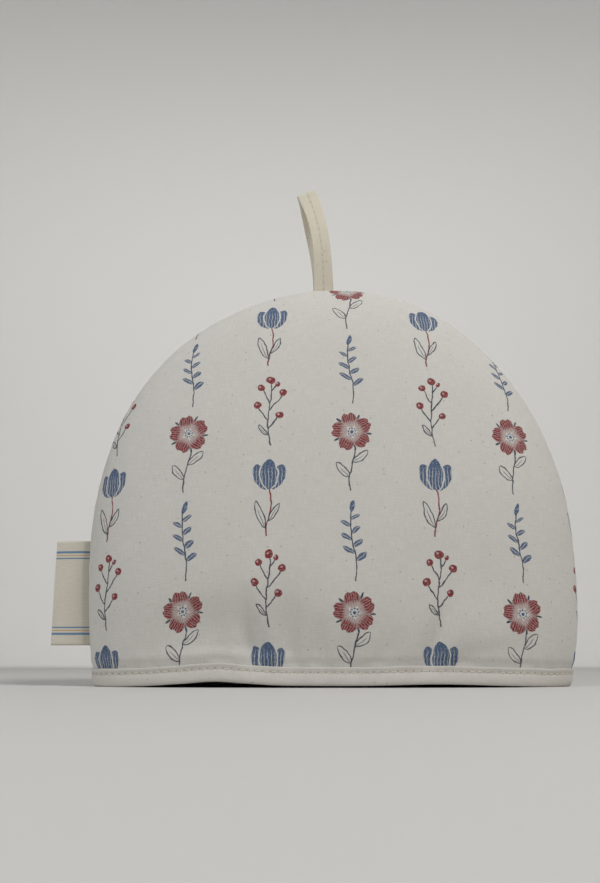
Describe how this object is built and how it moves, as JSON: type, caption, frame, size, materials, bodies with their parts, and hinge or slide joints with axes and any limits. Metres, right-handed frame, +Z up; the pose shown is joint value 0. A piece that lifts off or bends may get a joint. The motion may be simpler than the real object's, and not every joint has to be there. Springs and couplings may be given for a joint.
{
  "type": "tea cosy",
  "caption": "Padded dome-shaped cotton tea cosy with a scattered flower print, a bound hem, a hanging loop at the top and a ribbon label in the side seam.",
  "frame": {"origin": "middle of the footprint, on the surface that the hem rests on", "axes": "+Z up to the loop, X along the cosy's width with the label towards -X, -Y out of the front"},
  "size_m": [0.3549, 0.0884, 0.3618],
  "materials": {
    "unbleached_cotton": "plain woven unbleached cotton with a scattered print, over wadding",
    "unbleached_cotton_back": "plain woven unbleached cotton with a scattered print, over wadding",
    "cream_tape": "folded cream cotton tape, topstitched",
    "cream_strap": "folded cream cotton strap, stitched along its middle",
    "label_ribbon": "smooth woven ribbon, bare"
  },
  "bodies": {
    "root": {"front_panel": "unbleached_cotton", "back_panel": "unbleached_cotton_back", "hem_binding": "cream_tape", "hanging_loop": "cream_strap", "side_label": "label_ribbon"}
  },
  "joints": []
}
